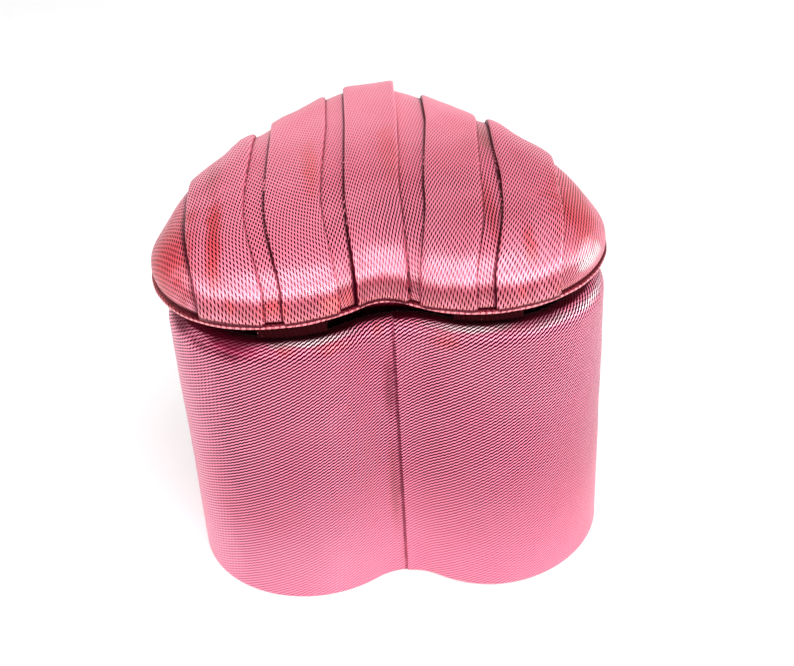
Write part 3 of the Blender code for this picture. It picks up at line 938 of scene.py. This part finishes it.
def make_hinge(name, x_middle):
    """A ribbon from inside the rim, over it, up through the hinge line and in under the lid's board."""
    xs = x_middle + np.linspace(-RIBBON_HALF, RIBBON_HALF, 25)
    rim = RIM_HEIGHT + 0.04
    grid = []
    for x in xs:
        side = abs(x) - LOBE_X
        wall_y = LOBE_Y - math.sqrt(LOBE_RADIUS ** 2 - side ** 2)
        path = [(wall_y + y, rim + z) for y, z in RIBBON_OVER_RIM]
        path = np.array(path + [(wall_y + y, HINGE_Z + z) for y, z in RIBBON_TO_BOARD])
        distance = distances_along(path)
        want = np.linspace(0, distance[-1], 61)
        line = np.column_stack([np.interp(want, distance, path[:, k]) for k in range(2)])
        relax(line, 3)
        grid.append(np.column_stack([np.full(len(line), x), line]))
    grid = np.array(grid)
    length = float(distances_along(grid[len(xs) // 2])[-1])
    up = unit(np.cross(np.gradient(grid, axis=0), np.gradient(grid, axis=1)))
    half_thickness = up * (RIBBON_THICKNESS / 2)
    loop = np.concatenate([grid + half_thickness, (grid - half_thickness)[::-1]])
    rows, columns = loop.shape[:2]
    there = np.linspace(0, 2 * RIBBON_HALF, len(xs))
    uv = [[(a, b) for b in np.linspace(0, length, columns)] for a in (*there, *there[::-1], 0.0)]
    faces, corners = strip_faces(rows, columns, uv)
    obj = to_object(name, loop.reshape(-1, 3), faces, corners, [RIBBON])
    return obj, (2 * RIBBON_HALF * MM, length * MM)


# Putting it together

def make_all():
    """The box's twelve pieces; each hides the nodes it replaces, and all but the hinge strips hang under
    their body.
    """
    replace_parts(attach(make_wall(), "box"), "body_wall")
    base = make_card(
        "base_cover", WALL, WALL_THICKNESS + 0.25, 0.0, BASE_THICKNESS, 0.3, on_body,
        [LINING_SATIN, CARD], crown=0.25
    )
    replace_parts(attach(base, "box"), "base_card")
    # The board's edge is painted light and its top painted shade
    board = make_card(
        "board_cover", LID, 0.0, BOARD_BOTTOM, BOARD_TOP, 0.28, on_lid,
        [EDGE_LIT_SATIN, LINING_SATIN, BOARD_TOP_SHADED_SATIN], wave=0.14, seed=7, curl=0.6
    )
    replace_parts(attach(board, "lid"), "lid_board")
    lining = make_card(
        "lining_cover", WALL, 2.4, LINING_BOTTOM, BOARD_BOTTOM - 0.3, 0.6, on_lid,
        [SHADE_SATIN, LINING_SATIN], seed=9
    )
    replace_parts(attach(lining, "lid"), "lid_lining")
    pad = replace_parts(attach(make_pad(), "lid"), "lid_pad")
    for number, pleat in enumerate(PLEATS, start=1):
        obj, length, area = make_pleat(number, pleat)
        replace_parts(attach(obj, "lid"), f"pleat_band_{number}")
    for side, x in (("left", -14.8), ("right", 14.0)):
        obj, flat = make_hinge(f"hinge_strip_{side}", x)
        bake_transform(obj)
        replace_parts(obj, f"hinge_{side}_rim", f"hinge_{side}_lid")


def make_camera():
    """The camera worked out from the photo: its focal length is 1350 pixels of an image 794 wide."""
    data = bpy.data.cameras.new("camera")
    data.sensor_width = 36.0
    data.lens = 1350.0 / 794 * data.sensor_width
    camera = bpy.data.objects.new("camera", data)
    bpy.context.scene.collection.objects.link(camera)
    right = Vector((0.9961, -0.0747, -0.0478))
    up = Vector((0.0812, 0.5504, 0.8310))
    ahead = Vector((0.0357, 0.8316, -0.5543))
    pose = Matrix((right, up, -ahead)).transposed().to_4x4()
    pose.translation = Vector((-6.6645, -195.0, 158.644)) * MM
    camera.matrix_world = pose
    bpy.context.scene.camera = camera


# Soft boxes: name, place and size in metres, and power in watts; all of them face the box
LIGHT_AIM = (0, -0.01, 0.05)
LIGHTS = [
    ("key", (0.02, -0.55, 0.41), (0.70, 0.20), 2.6),
    ("key_left", (-0.45, -0.38, 0.34), (0.50, 0.20), 1.6),
    ("key_right", (0.46, -0.38, 0.33), (0.50, 0.20), 2.0),
    ("above", (0.0, -0.26, 0.70), (0.90, 0.34), 3.8),
    ("side_left", (-0.52, -0.02, 0.30), (0.22, 0.20), 0.3),
    ("side_right", (0.54, 0.02, 0.14), (0.40, 0.12), 1.7),
    ("back", (0.05, 0.85, 0.17), (1.4, 0.28), 1.2),
]


def area_light(name, place, size, watts):
    """A rectangular soft box that faces the aim."""
    data = bpy.data.lights.new(name, "AREA")
    data.shape = "RECTANGLE"
    data.size, data.size_y = size
    data.energy = watts
    light = bpy.data.objects.new(name, data)
    light.location = place
    light.rotation_euler = (Vector(LIGHT_AIM) - Vector(place)).to_track_quat("-Z", "Y").to_euler()
    bpy.context.scene.collection.objects.link(light)


def make_studio():
    """A pale floor, a dim pale surround and the soft boxes."""
    bpy.ops.mesh.primitive_plane_add(size=4.0, location=(0, 0, 0))
    floor = bpy.context.object
    floor.name = "floor"
    floor.data.materials.append(floor_material("pale_floor"))
    world = bpy.data.worlds.new("studio")
    bpy.context.scene.world = world
    world.use_nodes = True
    background = world.node_tree.nodes["Background"]
    background.inputs["Color"].default_value = (1.0, 0.99, 0.99, 1.0)
    background.inputs["Strength"].default_value = 0.28
    for light in LIGHTS:
        area_light(*light)
    bpy.context.scene.view_settings.view_transform = "Standard"


make_camera()
make_studio()
make_all()
